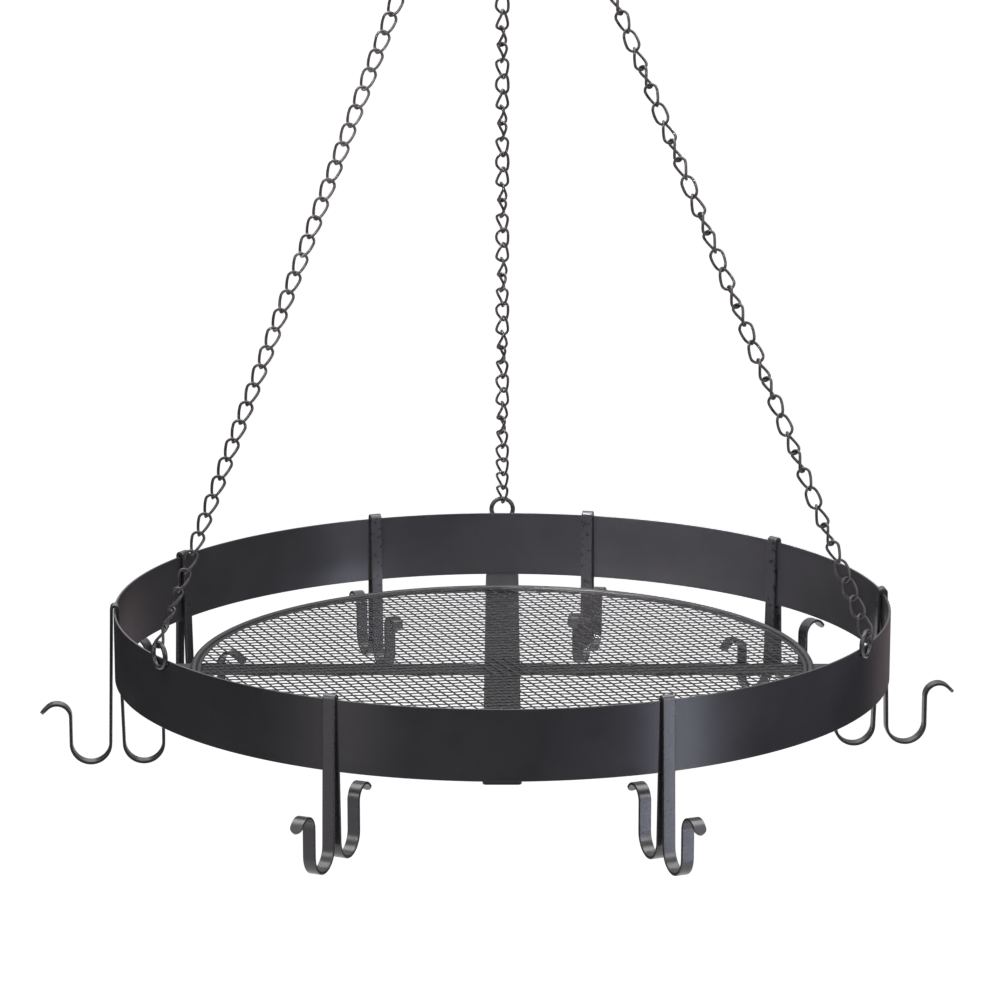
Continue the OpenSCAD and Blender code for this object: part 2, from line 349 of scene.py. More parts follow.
@once
def flat_strip_tree():
    """A flat strip with dressed edges, bent along a path.

    The path's taper says what share of the width is taken off at each point, and the outline's
    place across the strip is kept on it until that has been done.
    """
    tree = Tree("Flat strip", {"Width": "Float", "Thickness": "Float", "Edge": "Float",
                               "Across": "Vector", "Place": "Vector", "Turn": "Vector"})
    path = tree.add("GeometryNodeMeshToCurve", {"Mesh": tree.take("Geometry")})
    path = tree.add("GeometryNodeSetCurveNormal", {"Curve": path, "Normal": tree.take("Across")},
                    mode="FREE")
    outline = tree.add("GeometryNodeCurvePrimitiveQuadrilateral",
                       {"Width": tree.take("Width"), "Height": tree.take("Thickness")})
    outline = tree.add("GeometryNodeFilletCurve", {"Curve": outline, "Count": 4,
                                                   "Radius": tree.take("Edge"),
                                                   "Limit Radius": True}, mode="POLY")
    across = tree.position()[0]
    outline = tree.add("GeometryNodeStoreNamedAttribute",
                       {"Geometry": outline, "Name": "across", "Value": across},
                       data_type="FLOAT", domain="POINT")
    strip = tree.add("GeometryNodeCurveToMesh", {"Curve": path, "Profile Curve": outline,
                                                 "Fill Caps": True})
    kept = {name: tree.add("GeometryNodeInputNamedAttribute", {"Name": name}, data_type="FLOAT")
            for name in ("across", "taper")}
    inwards = tree.calc("MULTIPLY", tree.calc("MULTIPLY", kept["across"], kept["taper"]), -1.0)
    offset = tree.add("ShaderNodeVectorMath", {0: tree.take("Across"), "Scale": inwards},
                      operation="SCALE")
    strip = tree.add("GeometryNodeSetPosition", {"Geometry": strip, "Offset": offset})
    for name in ("across", "taper"):
        strip = tree.add("GeometryNodeRemoveAttribute", {"Geometry": strip, "Name": name})
    placed = tree.moved(strip, tree.take("Place"), (0, 0, 0))
    return tree.close(tree.moved(placed, (0, 0, 0), tree.take("Turn")))


@once
def chain_tree():
    """A straight chain of twisted links, each turned a little further than the one below."""
    tree = Tree("Twisted link chain", {
        "Links": "Int", "Pitch": "Float", "First": "Float", "Link Radius": "Float",
        "Link End": "Float", "Wire": "Float", "Link Twist": "Float", "Start": "Float",
        "Wind": "Float", "Seat Turn": "Float", "Seat Links": "Int", "Unevenness": "Float",
        "Foot": "Vector", "Turn": "Vector"})
    radius, end = tree.take("Link Radius"), tree.take("Link End")
    half = tree.calc("DIVIDE", tree.take("Link Twist"), 2.0)
    steps, sides = 32, 10
    loop = tree.add("GeometryNodeCurvePrimitiveCircle", {"Resolution": steps, "Radius": radius})
    x, y, _ = tree.position()
    side = tree.calc("SUBTRACT", end, radius)
    height = tree.calc("MULTIPLY_ADD", tree.calc("SIGN", y), side, y)
    loop = tree.add("GeometryNodeSetPosition", {"Geometry": loop,
                                                "Position": tree.vector(x, 0.0, height)})
    loop = tree.add("GeometryNodeResampleCurve", {"Curve": loop, "Count": steps})
    x, y, z = tree.position()
    twisted = tree.add("ShaderNodeVectorRotate",
                       {"Vector": tree.vector(x, y, z),
                        "Angle": tree.calc("MULTIPLY", half, tree.calc("DIVIDE", z, end))},
                       rotation_type="Z_AXIS")
    loop = tree.add("GeometryNodeSetPosition", {"Geometry": loop, "Position": twisted})
    link = tree.round_wire(loop, tree.calc("DIVIDE", tree.take("Wire"), 2.0), sides)
    first = tree.vector(0.0, 0.0, tree.take("First"))
    step = tree.vector(0.0, 0.0, tree.take("Pitch"))
    row = tree.add("GeometryNodeMeshLine",
                   {"Count": tree.take("Links"), "Start Location": first, "Offset": step})
    number = tree.index()
    last = tree.calc("SUBTRACT", tree.take("Links"), 1.0)

    def seating(links_away):
        """One at the chain's end, falling to nothing over the seat links."""
        part = tree.calc("DIVIDE", links_away, tree.take("Seat Links"))
        return tree.calc("MAXIMUM", tree.calc("SUBTRACT", 1.0, part), 0.0)

    freed = tree.calc("SUBTRACT", 1.0, seating(number))
    turn = tree.calc("MULTIPLY_ADD", tree.take("Start"), freed, half)
    turn = tree.calc("MULTIPLY_ADD", tree.take("Wind"), number, turn)
    turn = tree.calc("MULTIPLY_ADD", tree.take("Seat Turn"),
                     seating(tree.calc("SUBTRACT", last, number)), turn)
    chance = tree.node("FunctionNodeRandomValue", {"Seed": 7}, data_type="FLOAT")
    chance.inputs[2].default_value = -1.0
    chance.inputs[3].default_value = 1.0
    turn = tree.calc("MULTIPLY_ADD", tree.take("Unevenness"), chance.outputs[1], turn)
    chain = tree.add("GeometryNodeInstanceOnPoints", {"Points": row, "Instance": link,
                                                      "Rotation": tree.vector(0.0, 0.0, turn)})
    return tree.close(tree.moved(chain, tree.take("Foot"), tree.take("Turn")))


@once
def woven_shelf_tree():
    """Two rows of flat strands woven over and under one another, cut round, with a flat hem.

    A span is the way from one crossing to the next along a strand. Each strand has two points at
    a crossing, so that it runs level there.
    """
    tree = Tree("Woven shelf", {
        "Rows": "Int", "Spacing": "Float", "Crossing": "Float", "Mesh Turn": "Float",
        "Reach": "Float", "Strand Width": "Float", "Strand Thickness": "Float",
        "Weave": "Float", "Hem Radius": "Float", "Hem": "Float", "Height": "Float"})
    spacing, reach = tree.take("Spacing"), tree.take("Reach")
    span = tree.calc("DIVIDE", spacing, tree.calc("SINE", tree.take("Crossing")))
    lines = tree.calc("MULTIPLY_ADD", tree.take("Rows"), 2.0, 1.0)
    half_steps = tree.calc("ADD", tree.calc("MULTIPLY", tree.take("Rows"), 3.0), 6.0)
    points = tree.calc("MULTIPLY", half_steps, 2.0)
    level = 0.22  # share of a span that a strand stays level on each side of a crossing
    spare = 0.57  # share of a span that it keeps past the hem before its ends are drawn in

    def row(shear, lift):
        """One row of strands, made of a grid's edges in one direction."""
        grid = tree.add("GeometryNodeMeshGrid", {"Vertices X": points, "Vertices Y": lines})
        ends = tree.node("GeometryNodeInputMeshEdgeVertices")
        apart = tree.node("ShaderNodeVectorMath", {0: ends.outputs["Position 1"],
                                                   1: ends.outputs["Position 2"]},
                          operation="SUBTRACT").outputs[0]
        gap = tree.node("ShaderNodeSeparateXYZ", {0: apart}).outputs[1]
        rungs = tree.add("FunctionNodeCompare", {0: tree.calc("ABSOLUTE", gap), 1: 1e-6},
                         data_type="FLOAT", operation="GREATER_THAN")
        strands = tree.add("GeometryNodeDeleteGeometry", {"Geometry": grid, "Selection": rungs},
                           domain="EDGE", mode="EDGE_FACE")
        number = tree.index()
        column = tree.calc("SUBTRACT", tree.calc("FLOOR", tree.calc("DIVIDE", number, lines)),
                           half_steps)
        line = tree.calc("SUBTRACT", tree.calc("MODULO", number, lines), tree.take("Rows"))
        crossing = tree.calc("FLOOR", tree.calc("DIVIDE", column, 2.0))
        second = tree.calc("MULTIPLY_ADD", crossing, -2.0, column)
        side = tree.calc("MULTIPLY_ADD", second, 2 * level, -level)
        y = tree.calc("MULTIPLY", line, spacing)
        along = tree.calc("MULTIPLY", tree.calc("ADD", crossing, side), span)
        x = tree.calc("MULTIPLY_ADD", y, shear, along)
        parity = tree.calc("FLOORED_MODULO", tree.calc("ADD", crossing, line), 2.0)
        over = tree.calc("MULTIPLY_ADD", parity, -2.0, 1.0)
        z = tree.calc("MULTIPLY", tree.calc("MULTIPLY", over, tree.take("Weave")), lift)
        strands = tree.add("GeometryNodeSetPosition", {"Geometry": strands,
                                                       "Position": tree.vector(x, y, z)})
        px, py, pz = tree.position()
        far_square = tree.calc("MULTIPLY_ADD", py, tree.calc("MULTIPLY", py, -1.0),
                               tree.calc("MULTIPLY", reach, reach))
        far = tree.calc("SQRT", tree.calc("MAXIMUM", far_square, 0.0))
        limit = tree.calc("MULTIPLY_ADD", span, spare, far)
        outside = tree.add("FunctionNodeCompare", {0: tree.calc("ABSOLUTE", px), 1: limit},
                           data_type="FLOAT", operation="GREATER_THAN")
        strands = tree.add("GeometryNodeDeleteGeometry", {"Geometry": strands,
                                                          "Selection": outside}, domain="POINT")
        cut = tree.calc("MAXIMUM", tree.calc("MINIMUM", px, far), tree.calc("MULTIPLY", far, -1.0))
        strands = tree.add("GeometryNodeSetPosition", {"Geometry": strands,
                                                       "Position": tree.vector(cut, py, pz)})
        strands = tree.add("GeometryNodeMergeByDistance", {"Geometry": strands,
                                                           "Distance": 0.05 * MM})
        curve = tree.add("GeometryNodeMeshToCurve", {"Mesh": strands})
        curve = tree.add("GeometryNodeSetCurveNormal", {"Curve": curve, "Normal": (0, 0, 1)},
                         mode="FREE")
        wire = tree.add("GeometryNodeCurvePrimitiveCircle", {"Resolution": 6, "Radius": 0.5})
        wire = tree.add("GeometryNodeTransform",
                        {"Geometry": wire,
                         "Scale": tree.vector(tree.take("Strand Thickness"),
                                              tree.take("Strand Width"), 1.0)})
        return tree.add("GeometryNodeCurveToMesh", {"Curve": curve, "Profile Curve": wire,
                                                    "Fill Caps": True})

    lean = tree.calc("DIVIDE", 1.0, tree.calc("TANGENT", tree.take("Crossing")))
    first = row(shear=tree.calc("MULTIPLY", lean, -1.0), lift=1.0)
    second = row(shear=lean, lift=-1.0)
    other = tree.calc("SUBTRACT", math.pi, tree.take("Crossing"))
    second = tree.moved(second, (0, 0, 0), tree.vector(0.0, 0.0, other))
    hem_path = tree.add("GeometryNodeCurvePrimitiveCircle",
                        {"Resolution": 180, "Radius": tree.take("Hem Radius")})
    hem_path = tree.add("GeometryNodeSetCurveNormal", {"Curve": hem_path}, mode="Z_UP")
    flat = tree.add("GeometryNodeCurvePrimitiveQuadrilateral",
                    {"Width": tree.take("Hem"), "Height": tree.take("Strand Thickness")})
    flat = tree.add("GeometryNodeFilletCurve", {"Curve": flat, "Count": 2, "Radius": 0.3 * MM,
                                                "Limit Radius": True}, mode="POLY")
    hem = tree.add("GeometryNodeCurveToMesh", {"Curve": hem_path, "Profile Curve": flat})
    joined = tree.node("GeometryNodeJoinGeometry")
    for part in (first, second, hem):
        tree.group.links.new(part, joined.inputs[0])
    placed = tree.moved(joined.outputs[0], tree.vector(0.0, 0.0, tree.take("Height")),
                        tree.vector(0.0, 0.0, tree.take("Mesh Turn")))
    return tree.close(placed)


@once
def weld_tree():
    """Small weld beads at a path's points, each a little different."""
    tree = Tree("Weld beads", {"Size": "Float", "Roughness": "Float"})
    shape = (1.5, 0.7, 0.8)  # long, narrow and low
    bead = tree.add("GeometryNodeMeshIcoSphere", {"Radius": tree.take("Size"), "Subdivisions": 3})
    turn = tree.add("GeometryNodeInputNamedAttribute", {"Name": "turn"}, data_type="FLOAT")
    beads = tree.add("GeometryNodeInstanceOnPoints",
                     {"Points": tree.take("Geometry"), "Instance": bead,
                      "Rotation": tree.vector(0.0, 0.0, turn), "Scale": shape})
    beads = tree.add("GeometryNodeRealizeInstances", {"Geometry": beads})
    lumps = tree.node("ShaderNodeTexNoise", {"W": 3.0, "Scale": 900.0, "Detail": 1.0},
                      noise_dimensions="4D").outputs[0]
    size = tree.calc("MULTIPLY", tree.calc("SUBTRACT", lumps, 0.5), tree.take("Roughness"))
    offset = tree.add("ShaderNodeVectorMath", {0: tree.add("GeometryNodeInputNormal"),
                                               "Scale": size}, operation="SCALE")
    beads = tree.add("GeometryNodeSetPosition", {"Geometry": beads, "Offset": offset})
    beads = tree.add("GeometryNodeRemoveAttribute", {"Geometry": beads, "Name": "turn"})
    return tree.close(beads)


# ---------------------------------------------------------------- making a piece

def line_mesh(name, points, closed=False, marks=None):
    """A mesh of points joined by edges, with a number kept at each point for every mark."""
    mesh = bpy.data.meshes.new(name)
    count = len(points)
    edges = [(i, (i + 1) % count) for i in range(count if closed else count - 1)]
    mesh.from_pydata(points, edges, [])
    for label, values in (marks or {}).items():
        mesh.attributes.new(label, "FLOAT", "POINT").data.foreach_set("value", values)
    return mesh


def grow(name, tree, values, slot, body, nodes, path=None, flat=False):
    """Runs a tree on a new object, keeps the result as a plain mesh, hangs it on its body and
    hides the nodes it replaces.

    Values are the tree's named inputs, and flat evens out the shading of flat faces.
    """
    piece = bpy.data.objects.new(name, path or bpy.data.meshes.new(name))
    bpy.context.scene.collection.objects.link(piece)
    maker = piece.modifiers.new("Maker", "NODES")
    maker.node_group = tree
    sockets = {item.name: item.identifier for item in tree.interface.items_tree
               if item.item_type == "SOCKET" and item.in_out == "INPUT"}
    maker[sockets["Material"]] = paint(slot)
    for label, value in values.items():
        maker[sockets[label]] = value
    if flat:
        piece.modifiers.new("Flat faces", "WEIGHTED_NORMAL").keep_sharp = True
    shown = bpy.context.evaluated_depsgraph_get()
    mesh = bpy.data.meshes.new_from_object(piece.evaluated_get(shown), depsgraph=shown)
    if not mesh.polygons:
        raise RuntimeError(name + " came out empty")
    piece.modifiers.clear()
    piece.data = mesh
    mesh.name = name
    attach(piece, body)
    if nodes:
        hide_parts(*nodes)


def arc(centre, radius, start, stop, steps):
    """Points along an arc in the XZ plane, angles in degrees."""
    turns = [math.radians(start + (stop - start) * i / steps) for i in range(steps + 1)]
    return [(centre[0] + radius * math.cos(t), centre[1] + radius * math.sin(t)) for t in turns]


def rounded_end(start, stop, corner, half_width, steps):
    """Points up to a strip's end, and how far each is narrowed to round its corners."""
    most = 0.985  # of the width, so that the end keeps a face
    run = Vector(stop) - Vector(start)
    reach = run.length
    along = run / reach
    points, tapers = [], []
    for i in range(steps + 1):
        turn = math.pi / 2 * i / steps
        left = corner * (1 - math.sin(turn))
        cut = corner * (1 - math.cos(turn))
        points.append(tuple(Vector(start) + along * (reach - left)))
        tapers.append(min(cut, half_width * most) / half_width)
    return points, tapers


def upright(points):
    """Stands flat points up in the XZ plane."""
    return [(x, 0.0, z) for x, z in points]


# ---------------------------------------------------------------- operators

class RACK_OT_hoop(bpy.types.Operator):
    """Makes the hoop, a flat band rolled round"""
    bl_idname = "rack.hoop"
    bl_label = "Hoop"

    def execute(self, context):
        size = context.scene.rack_hoop
        reach = size.radius - size.thickness / 2
        steps = 240
        turns = [2 * math.pi * i / steps for i in range(steps)]
        path = line_mesh("hoop", [(reach * math.sin(t), -reach * math.cos(t), 0) for t in turns],
                         closed=True)
        grow("hoop", flat_strip_tree(),
             {"Width": size.height, "Thickness": size.thickness, "Edge": size.edge,
              "Across": (0, 0, 1), "Place": (0, 0, (HOOP_LOW.z + HOOP_HIGH.z) / 2),
              "Turn": (0, 0, 0)},
             "band_iron", "rack", ["hoop_band"], path, flat=True)
        return {"FINISHED"}


class RACK_OT_straps(bpy.types.Operator):
    """Makes the two crossed straps that carry the shelf, one stepped over the other"""
    bl_idname = "rack.straps"
    bl_label = "Straps"

    def execute(self, context):
        step = context.scene.rack_hoop.step
        self.make(context, "strap_left_right", turn=0, lift=0)
        self.make(context, "strap_front_back", turn=math.pi / 2, lift=step)
        return {"FINISHED"}

    def make(self, context, node, turn, lift):
        size = context.scene.rack_hoop
        level = STRAP_LOW.z + size.strap_thickness / 2
        flat = (size.strap_width + size.ramp) / 2
        points = [(flat, level)]
        if lift:
            ramp = [(flat, level + lift), (flat + size.ramp, level)]
            points = self.eased(ramp, ease=size.ramp / 5)
        end, tapers = rounded_end(points[-1], (STRAP_HIGH.x, level), size.strap_corner,
                                  size.strap_width / 2, steps=5)
        marks = [0.0] * len(points) + tapers
        points += end
        both = upright([(-x, z) for x, z in reversed(points)] + points)
        path = line_mesh(node, both, marks={"taper": list(reversed(marks)) + marks})
        grow(node + "_bar", flat_strip_tree(),
             {"Width": size.strap_width, "Thickness": size.strap_thickness,
              "Edge": size.strap_edge, "Across": (0, 1, 0), "Place": (0, 0, 0),
              "Turn": (0, 0, turn)},
             "strap_iron", "rack", [node], path, flat=True)

    def eased(self, ramp, ease):
        """Softens both corners of a ramp over the length of ease on each side."""
        (x0, z0), (x1, z1) = ramp
        slope = (z1 - z0) / (x1 - x0)
        bend = ((-1, 0), (-0.25, 0.0625), (0.5, 0.42), (1, 1))  # along and up, in parts of ease
        first = [(x0 + ease * along, z0 + slope * ease * up) for along, up in bend]
        second = [(x1 - ease * along, z1 - slope * ease * up) for along, up in reversed(bend)]
        return first + second


class RACK_OT_rim(bpy.types.Operator):
    """Makes the rim wire round the shelf"""
    bl_idname = "rack.rim"
    bl_label = "Shelf rim"

    def execute(self, context):
        wire = context.scene.rack_shelf.rim_wire
        grow("shelf_rim_wire", wire_ring_tree(),
             {"Radius": RIM_HIGH.x - wire / 2, "Wire": wire, "Steps": 200, "Sides": 20,
              "Place": middle("shelf_rim"), "Turn": (0, 0, 0)},
             "strap_iron", "rack", ["shelf_rim"])
        return {"FINISHED"}


class RACK_OT_shelf(bpy.types.Operator):
    """Weaves the diamond mesh of the shelf, with its hem"""
    bl_idname = "rack.shelf"
    bl_label = "Shelf mesh"

    def execute(self, context):
        size = context.scene.rack_shelf
        reach = MESH_HIGH.x - size.hem / 2
        thick = MESH_HIGH.z - MESH_LOW.z
        strand, weave = 0.76 * thick, 0.1 * thick
        grow("shelf_weave", woven_shelf_tree(),
             {"Rows": math.floor((reach - size.strand_width) / size.spacing),
              "Spacing": size.spacing, "Crossing": size.crossing, "Mesh Turn": size.turn,
              "Reach": reach, "Strand Width": size.strand_width, "Strand Thickness": strand,
              "Weave": weave, "Hem Radius": reach, "Hem": size.hem,
              "Height": (MESH_LOW.z + MESH_HIGH.z) / 2},
             "mesh_iron", "rack", ["shelf_mesh"])
        return {"FINISHED"}


class RACK_OT_rings(bpy.types.Operator):
    """Makes the hanging ring and the three eyelets"""
    bl_idname = "rack.rings"
    bl_label = "Ring and eyelets"

    def execute(self, context):
        wire = RING_HIGH.y - RING_LOW.y
        grow("hanging_ring", wire_ring_tree(),
             {"Radius": RING_HIGH.x - wire / 2, "Wire": wire, "Steps": 96, "Sides": 24,
              "Place": middle("top_ring"), "Turn": (math.pi / 2, 0, 0)},
             "ring_iron", "hanger", ["top_ring"])
        wire = EYELET_HIGH.y - EYELET_LOW.y
        for node in ("eyelet_left", "eyelet_right", "eyelet_back"):
            grow(node + "_wire", wire_ring_tree(),
                 {"Radius": EYELET_HIGH.x - wire / 2, "Wire": wire, "Steps": 56, "Sides": 20,
                  "Place": middle(node), "Turn": (math.pi / 2, 0, angle_round_hoop(node))},
                 "ring_iron", "rack", [node])
        return {"FINISHED"}


class RACK_OT_chains(bpy.types.Operator):
    """Makes the three chains of twisted links"""
    bl_idname = "rack.chains"
    bl_label = "Chains"

    def execute(self, context):
        self.make(context, "left", seat=-1, start=60, wind=0.7)
        self.make(context, "right", seat=1, start=110, wind=-43.1)
        self.make(context, "back", seat=0, start=133, wind=-35.1)
        return {"FINISHED"}

    def make(self, context, side, seat, start, wind):
        """Makes one chain from its eyelet up to the ring.

        Seat is the chain's side of the ring. Start is the turn that the links come to above the
        eyelet, and wind what each link adds to it, both in degrees.
        """
        size = context.scene.rack_chains
        eyelet_wire = EYELET_HIGH.y - EYELET_LOW.y
        ring_wire = RING_HIGH.y - RING_LOW.y
        eyelet = middle("eyelet_" + side)
        ring = middle("top_ring")
        ring_radius = RING_HIGH.x - ring_wire / 2
        spread = seat * size.ring_spread
        foot = eyelet + Vector((0, 0, (EYELET_HIGH.z - EYELET_LOW.z - eyelet_wire) / 2))
        head = ring + ring_radius * Vector((math.sin(spread), 0, -math.cos(spread)))
        run = head - foot
        along = run.normalized()
        lean = math.acos(along.z)
        heading = math.atan2(along.y, along.x)
        side_x = Vector((math.cos(lean) * math.cos(heading), math.cos(lean) * math.sin(heading),
                         -math.sin(lean)))
        side_y = Vector((-math.sin(heading), math.cos(heading), 0))
        square = Vector((math.cos(spread), 0, math.sin(spread))).cross(along)
        off_square = (math.degrees(math.atan2(square.dot(side_y), square.dot(side_x)))
                      - start - (size.links - 1) * wind - math.degrees(size.link_twist))
        seat_rest = (eyelet_wire + ring_wire) / 2 - size.link_gap + size.ring_gap
        radius = (size.link_width - size.link_wire) / 2
        grow("chain_" + side + "_links", chain_tree(),
             {"Links": size.links, "Wire": size.link_wire, "Link Radius": radius,
              "Pitch": (run.length + seat_rest + size.link_gap) / size.links,
              "First": (size.pitch - eyelet_wire - size.link_gap) / 2,
              "Link End": (size.pitch + size.link_gap + size.link_wire) / 2,
              "Link Twist": size.link_twist, "Start": math.radians(start),
              "Wind": math.radians(wind), "Seat Turn": math.radians(off_square % 180),
              "Seat Links": size.seat_links, "Unevenness": size.unevenness,
              "Foot": foot, "Turn": (0, lean, heading)},
             "chain_iron", "rack", ["chain_" + side])


class RACK_OT_hooks(bpy.types.Operator):
    """Bends the eight double hooks that straddle the hoop"""
    bl_idname = "rack.hooks"
    bl_label = "Hooks"

    def execute(self, context):
        size = context.scene.rack_hooks
        hoop = context.scene.rack_hoop
        half_path, tapers = self.half(size, hoop.thickness)
        path = upright([(-x, z) for x, z in reversed(half_path[1:])] + half_path)
        marks = list(reversed(tapers[1:])) + tapers
        for node in HOOKS:
            mesh = line_mesh(node, path, marks={"taper": marks})
            turn = angle_round_hoop(node) - math.pi / 2
            grow(node + "_strip", flat_strip_tree(),
                 {"Width": size.width, "Thickness": size.thickness, "Edge": size.edge,
                  "Across": (0, 1, 0), "Turn": (0, 0, turn),
                  "Place": (hoop.radius - hoop.thickness / 2, 0, HOOP_HIGH.z)},
                 "hook_iron", node, [node], mesh, flat=True)
        return {"FINISHED"}

    def half(self, size, band):
        """Middle line of one half of a hook, from the saddle's top to the tip."""
        splay = size.splay
        saddle = band / 2 + size.saddle_gap + size.thickness / 2
        crook = size.crook + size.thickness / 2
        curl = size.curl + size.thickness / 2
        leg = (size.crook_drop + size.saddle_gap + (saddle + crook) * math.sin(splay))
        leg /= math.cos(splay)
        foot = Vector((saddle * math.cos(splay) + leg * math.sin(splay),
                       size.saddle_gap + saddle * math.sin(splay) - leg * math.cos(splay)))
        crook_middle = foot + crook * Vector((math.cos(splay), math.sin(splay)))
        curl_middle = crook_middle + Vector((crook + curl, size.rise))
        lean = math.degrees(splay)
        last = math.degrees(size.curl_end)
        points = arc((0, size.saddle_gap), saddle, 90, lean, steps=8)
        points += arc(crook_middle, crook, 180 + lean, 360, steps=30)
        points += arc(curl_middle, curl, 180, last, steps=20)
        tip = (points[-1][0] + size.tip * math.sin(size.curl_end),
               points[-1][1] - size.tip * math.cos(size.curl_end))
        corner = 0.53 * size.width
        end, tapers = rounded_end(points[-1], tip, corner, size.width / 2, steps=9)
        return points + end, [0.0] * len(points) + tapers


class RACK_OT_welds(bpy.types.Operator):
    """Sets the small weld beads that hold the eyelets, the rim and the straps"""
    bl_idname = "rack.welds"
    bl_label = "Weld beads"

    def execute(self, context):
        hoop = context.scene.rack_hoop
        shelf = context.scene.rack_shelf
        places, turns = [], []

        def bead(reach, around, height, turn):
            places.append((reach * math.sin(around), -reach * math.cos(around), height))
            turns.append(turn)

        beside = 7.2 * MM  # from an eyelet's middle, along the band
        out = 0.4 * MM  # from the band's face
        below = 1.6 * MM  # under the band's upper edge
        for node in ("eyelet_left", "eyelet_right", "eyelet_back"):
            around = angle_round_hoop(node)
            for side in (-1, 1):
                bead(hoop.radius + out, around + side * beside / hoop.radius,
                     HOOP_HIGH.z - below, around)
        beside = 1.7 * MM  # from the rim wire's middle, to each side
        above = 0.5 * MM  # over the straps
        rim = RIM_HIGH.x - shelf.rim_wire / 2
        for quarter in range(4):
            around = quarter * math.pi / 2
            for side in (-1, 1):
                bead(rim + side * beside, around, RIM_LOW.z + above, around)
        path = line_mesh("weld_beads", places, marks={"turn": turns})
        grow("weld_beads", weld_tree(), {"Size": 0.9 * MM, "Roughness": 0.4 * MM},
             "ring_iron", "rack", [], path)
        return {"FINISHED"}


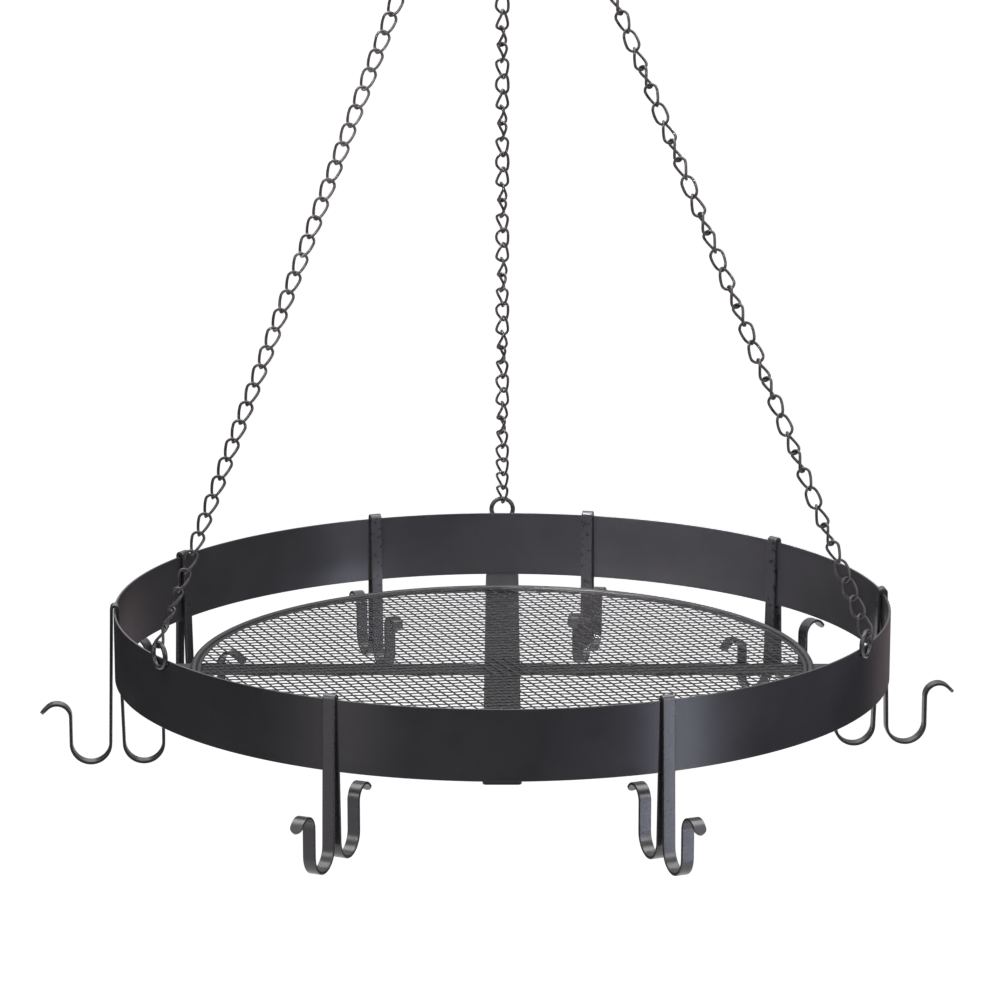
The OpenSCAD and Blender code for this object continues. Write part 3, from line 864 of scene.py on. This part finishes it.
class RACK_OT_stage(bpy.types.Operator):
    """Sets the pale floor, the soft lights and the camera"""
    bl_idname = "rack.stage"
    bl_label = "Stage"

    def execute(self, context):
        size = context.scene.rack_stage
        self.floor(context, size)
        self.card(context, size, "dark_card", size.card_left, size.card_right)
        self.card(context, size, "brown_card", size.card_right, size.card_end, glow=BROWN_GLOW)
        self.world(context)
        self.lights(context)
        self.camera(context, size)
        context.scene.view_settings.view_transform = "Standard"
        return {"FINISHED"}

    def lights(self, context):
        upper, lower = (0, 0, HOOP_HIGH.z), (0, 0, HOOP_LOW.z)
        self.light(context, "overhead", (0, 0.15, 0.7), (0, 0.1, HOOP_HIGH.z),
                   width=1.8, height=0.9, power=26)
        self.light(context, "front", (0.6, -3.4, 0.5), upper, width=1.6, height=1.2, power=8)
        self.light(context, "right", (2.3, -1.9, -0.9), upper,
                   width=0.35, height=2.4, power=29, tint=COOL)
        self.light(context, "left", (-2.2, -2.1, -0.9), upper,
                   width=0.9, height=2.4, power=8, tint=WARM)
        for name, side in (("key_left", -1), ("key_right", 1)):
            self.light(context, name, (side * 1.8, -1.6, 0.5), lower,
                       width=0.55, height=0.9, power=10)
        self.light(context, "inside", (-1.2, -1.6, 1.4), (0.13, 0.24, HOOP_LOW.z),
                   width=0.2, height=0.2, power=0.4, beam=8)

    def floor(self, context, size):
        mesh = bpy.data.meshes.new("floor")
        far, depth = 60, size.floor
        mesh.from_pydata([(-far, -far, -depth), (far, -far, -depth), (far, far, -depth),
                          (-far, far, -depth)], [], [(0, 1, 2, 3)])
        plane = bpy.data.objects.new("floor", mesh)
        context.scene.collection.objects.link(plane)
        material = bpy.data.materials.new("pale_floor")
        material.use_nodes = True
        nodes, links = material.node_tree.nodes, material.node_tree.links
        shader = nodes["Principled BSDF"]
        shader.inputs["Base Color"].default_value = FLOOR_PALE
        shader.inputs["Roughness"].default_value = 0.9
        shader.inputs["Emission Color"].default_value = WHITE
        links.new(self.seen_directly(nodes, links, 0.8), shader.inputs["Emission Strength"])
        mesh.materials.append(material)

    def card(self, context, size, name, start, stop, glow=None):
        """A round card that the paint mirrors and the camera doesn't see, plain or glowing."""
        steps = 24
        mesh = bpy.data.meshes.new(name)
        places = []
        for i in range(steps + 1):
            turn = start + (stop - start) * i / steps
            across, ahead = size.card_reach * math.sin(turn), -size.card_reach * math.cos(turn)
            places += [(across, ahead, -size.floor), (across, ahead, size.card_top)]
        panels = [(2 * i, 2 * i + 2, 2 * i + 3, 2 * i + 1) for i in range(steps)]
        mesh.from_pydata(places, [], panels)
        shown = bpy.data.objects.new(name, mesh)
        context.scene.collection.objects.link(shown)
        shown.visible_camera = False
        material = bpy.data.materials.new(name + "_face")
        material.use_nodes = True
        shader = material.node_tree.nodes["Principled BSDF"]
        shader.inputs["Base Color"].default_value = CARD_BLACK
        shader.inputs["Roughness"].default_value = 1
        if glow:
            shader.inputs["Emission Color"].default_value = glow
            shader.inputs["Emission Strength"].default_value = 1
        mesh.materials.append(material)

    def seen_directly(self, nodes, links, strength):
        """A strength for camera, glossy and transmission rays alone."""
        path = nodes.new("ShaderNodeLightPath")
        total = path.outputs["Is Camera Ray"]
        for name in ("Is Glossy Ray", "Is Transmission Ray"):
            join = nodes.new("ShaderNodeMath")
            join.operation = "MAXIMUM"
            links.new(total, join.inputs[0])
            links.new(path.outputs[name], join.inputs[1])
            total = join.outputs["Value"]
        scale = nodes.new("ShaderNodeMath")
        scale.operation = "MULTIPLY"
        links.new(total, scale.inputs[0])
        scale.inputs[1].default_value = strength
        return scale.outputs["Value"]

    def world(self, context):
        """A grey studio that looks white to the camera and in reflections."""
        world = bpy.data.worlds.new("studio")
        world.use_nodes = True
        nodes, links = world.node_tree.nodes, world.node_tree.links
        shade = nodes["Background"]
        mix = nodes.new("ShaderNodeMix")
        mix.data_type = "RGBA"
        mix.inputs["A"].default_value = STUDIO_GREY
        mix.inputs["B"].default_value = WHITE
        links.new(self.seen_directly(nodes, links, 1.0), mix.inputs["Factor"])
        links.new(mix.outputs["Result"], shade.inputs["Color"])
        shade.inputs["Strength"].default_value = 1
        context.scene.world = world

    def light(self, context, name, place, target, width, height, power, beam=180,
              tint=(1, 1, 1)):
        """An oblong lamp turned towards its target; power in watts, beam in degrees."""
        lamp = bpy.data.lights.new(name, "AREA")
        lamp.color = tint
        lamp.spread = math.radians(beam)
        lamp.shape = "RECTANGLE"
        lamp.size = width
        lamp.size_y = height
        lamp.energy = power
        shown = bpy.data.objects.new(name, lamp)
        shown.location = place
        aim = Vector(target) - Vector(place)
        shown.rotation_euler = aim.to_track_quat("-Z", "Y").to_euler()
        context.scene.collection.objects.link(shown)

    def camera(self, context, size):
        eye = bpy.data.cameras.new("camera")
        eye.lens = size.lens
        eye.sensor_width = 36
        eye.clip_end = 200
        shown = bpy.data.objects.new("camera", eye)
        shown.location = (0, -size.distance * math.cos(size.elevation),
                          HOOP_HIGH.z + size.distance * math.sin(size.elevation))
        shown.rotation_euler = (math.pi / 2 - size.look_down, 0, size.look_left)
        context.scene.collection.objects.link(shown)
        context.scene.camera = shown


STEPS = (RACK_OT_hoop, RACK_OT_straps, RACK_OT_rim, RACK_OT_shelf, RACK_OT_rings,
         RACK_OT_chains, RACK_OT_hooks, RACK_OT_welds, RACK_OT_stage)
GROUPS = {"rack_hoop": HoopSizes, "rack_shelf": ShelfSizes, "rack_chains": ChainSizes,
          "rack_hooks": HookSizes, "rack_colours": RackColours, "rack_stage": StageSizes}


class RACK_PT_panel(bpy.types.Panel):
    """Lists the rack's pieces in the sidebar"""
    bl_idname = "RACK_PT_panel"
    bl_label = "Pot Rack"
    bl_space_type = "VIEW_3D"
    bl_region_type = "UI"
    bl_category = "Pot Rack"

    def draw(self, context):
        for step in STEPS:
            self.layout.operator(step.bl_idname)
        for group in GROUPS:
            box = self.layout.box()
            sizes = getattr(context.scene, group)
            for name in sizes.__annotations__:
                box.prop(sizes, name)


def register():
    for group, kind in GROUPS.items():
        bpy.utils.register_class(kind)
        setattr(bpy.types.Scene, group, PointerProperty(type=kind))
    for kind in STEPS + (RACK_PT_panel,):
        bpy.utils.register_class(kind)


def unregister():
    for kind in reversed(STEPS + (RACK_PT_panel,)):
        bpy.utils.unregister_class(kind)
    for group, kind in GROUPS.items():
        delattr(bpy.types.Scene, group)
        bpy.utils.unregister_class(kind)


def main():
    register()
    bpy.ops.rack.hoop()
    bpy.ops.rack.straps()
    bpy.ops.rack.rim()
    bpy.ops.rack.shelf()
    bpy.ops.rack.rings()
    bpy.ops.rack.chains()
    bpy.ops.rack.hooks()
    bpy.ops.rack.welds()
    bpy.ops.rack.stage()


if __name__ == "__main__":
    main()
